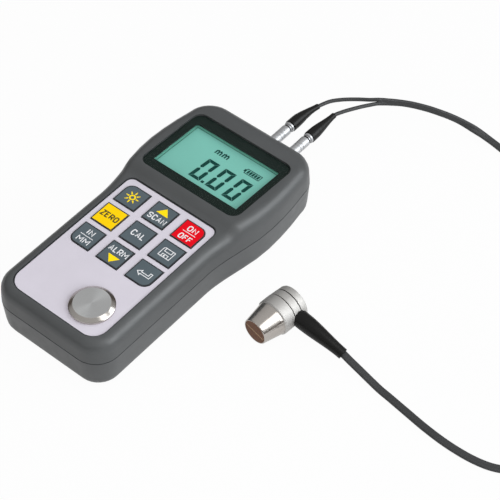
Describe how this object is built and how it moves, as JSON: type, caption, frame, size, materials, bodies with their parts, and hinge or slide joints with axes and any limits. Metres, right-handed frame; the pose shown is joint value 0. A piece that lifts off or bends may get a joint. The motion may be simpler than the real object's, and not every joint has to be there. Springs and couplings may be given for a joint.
{
  "type": "ultrasonic thickness gauge",
  "caption": "Hand-held ultrasonic thickness gauge with a display, a pad of push keys, a steel zero disc and a side-cable probe on a twin lead.",
  "frame": {"origin": "centre of the case's flat back, which lies on the table", "axes": "+Z out of the front face, +Y to the display end, +X to the right of the keys"},
  "size_m": [0.2536, 0.2348, 0.0325],
  "materials": {
    "case_plastic": "fine satin texture",
    "black_screw": "blackened steel",
    "panel_film": "satin printed panel",
    "mat_rubber": "moulded",
    "key_slate": "satin printed key",
    "key_red": "satin printed key",
    "key_yellow": "satin printed key",
    "disc_steel": "turned and polished",
    "window_clear": "clear window",
    "mask_black": "printed mask",
    "lcd_green": "segment display",
    "light_white": "diffuser",
    "holder_black": "moulded",
    "board_green": "soldered board",
    "bright_steel": "plated",
    "cell_jacket": "printed jacket",
    "plug_metal": "plated and polished",
    "plug_brass": "turned",
    "cord_black": "smooth jacket",
    "nose_steel": "polished",
    "delay_brown": "lapped resin",
    "barrier_cork": "thin barrier",
    "barrel_metal": "turned and satin finished"
  },
  "bodies": {
    "gauge": {"upper_case": "case_plastic", "lower_case": "case_plastic", "case_screws": "black_screw", "keypad_panel": "panel_film", "keypad_mat": "mat_rubber", "zero_disc": "disc_steel", "display_window": "window_clear", "display_mask": "mask_black", "lcd_panel": "lcd_green", "backlight_panel": "light_white", "lcd_holder": "holder_black", "main_board": "board_green", "board_screws": "bright_steel", "buzzer": "holder_black", "battery_cell_left": "cell_jacket", "battery_cell_right": "cell_jacket", "battery_springs": "bright_steel", "battery_contacts": "bright_steel", "socket_left": "plug_metal", "socket_right": "plug_metal", "socket_nuts": "plug_brass", "plug_core_left": "plug_brass", "plug_core_right": "plug_brass", "plug_nut_left": "plug_metal", "plug_nut_right": "plug_metal", "plug_boot_left": "cord_black", "plug_boot_right": "cord_black", "lead_left": "cord_black", "lead_right": "cord_black", "cable_out_run": "cord_black", "cable_coil": "cord_black", "cable_tie": "holder_black", "cable_in_run": "cord_black", "probe_nose": "nose_steel", "probe_delay_upper": "delay_brown", "probe_delay_lower": "delay_brown", "probe_barrier": "barrier_cork", "probe_body": "barrel_metal", "probe_cap": "barrel_metal", "probe_boot": "cord_black"},
    "battery_door": {"battery_door": "case_plastic"},
    "plug_sleeve_left": {"plug_sleeve_left": "plug_metal"},
    "plug_sleeve_right": {"plug_sleeve_right": "plug_metal"},
    "key_backlight": {"key_backlight": "key_slate"},
    "key_scan": {"key_scan": "key_slate"},
    "key_power": {"key_power": "key_red"},
    "key_zero": {"key_zero": "key_yellow"},
    "key_calibrate": {"key_calibrate": "key_slate"},
    "key_save": {"key_save": "key_slate"},
    "key_units": {"key_units": "key_slate"},
    "key_alarm": {"key_alarm": "key_slate"},
    "key_enter": {"key_enter": "key_slate"}
  },
  "joints": [
    {"name": "key_backlight_press", "type": "slide", "parent": "gauge", "child": "key_backlight", "axis": [0, 0, -1], "range_m": [0, 0.0005], "stiffness_N_per_m": 1200, "springref_m": -0.001, "deforming": ["keypad_mat"]},
    {"name": "key_scan_press", "type": "slide", "parent": "gauge", "child": "key_scan", "axis": [0, 0, -1], "range_m": [0, 0.0005], "stiffness_N_per_m": 1200, "springref_m": -0.001, "deforming": ["keypad_mat"]},
    {"name": "key_power_press", "type": "slide", "parent": "gauge", "child": "key_power", "axis": [0, 0, -1], "range_m": [0, 0.0005], "stiffness_N_per_m": 1200, "springref_m": -0.001, "deforming": ["keypad_mat"]},
    {"name": "key_zero_press", "type": "slide", "parent": "gauge", "child": "key_zero", "axis": [0, 0, -1], "range_m": [0, 0.0005], "stiffness_N_per_m": 1200, "springref_m": -0.001, "deforming": ["keypad_mat"]},
    {"name": "key_calibrate_press", "type": "slide", "parent": "gauge", "child": "key_calibrate", "axis": [0, 0, -1], "range_m": [0, 0.0005], "stiffness_N_per_m": 1200, "springref_m": -0.001, "deforming": ["keypad_mat"]},
    {"name": "key_save_press", "type": "slide", "parent": "gauge", "child": "key_save", "axis": [0, 0, -1], "range_m": [0, 0.0005], "stiffness_N_per_m": 1200, "springref_m": -0.001, "deforming": ["keypad_mat"]},
    {"name": "key_units_press", "type": "slide", "parent": "gauge", "child": "key_units", "axis": [0, 0, -1], "range_m": [0, 0.0005], "stiffness_N_per_m": 1200, "springref_m": -0.001, "deforming": ["keypad_mat"]},
    {"name": "key_alarm_press", "type": "slide", "parent": "gauge", "child": "key_alarm", "axis": [0, 0, -1], "range_m": [0, 0.0005], "stiffness_N_per_m": 1200, "springref_m": -0.001, "deforming": ["keypad_mat"]},
    {"name": "key_enter_press", "type": "slide", "parent": "gauge", "child": "key_enter", "axis": [0, 0, -1], "range_m": [0, 0.0005], "stiffness_N_per_m": 1200, "springref_m": -0.001, "deforming": ["keypad_mat"]},
    {"name": "battery_door_slide", "type": "slide", "parent": "gauge", "child": "battery_door", "axis": [0, -1, 0], "range_m": [0, 0.065]},
    {"name": "plug_sleeve_left_pull", "type": "slide", "parent": "gauge", "child": "plug_sleeve_left", "axis": [0, 1, 0], "range_m": [0, 0.0012], "stiffness_N_per_m": 1500, "springref_m": -0.002},
    {"name": "plug_sleeve_right_pull", "type": "slide", "parent": "gauge", "child": "plug_sleeve_right", "axis": [0, 1, 0], "range_m": [0, 0.0012], "stiffness_N_per_m": 1500, "springref_m": -0.002}
  ]
}
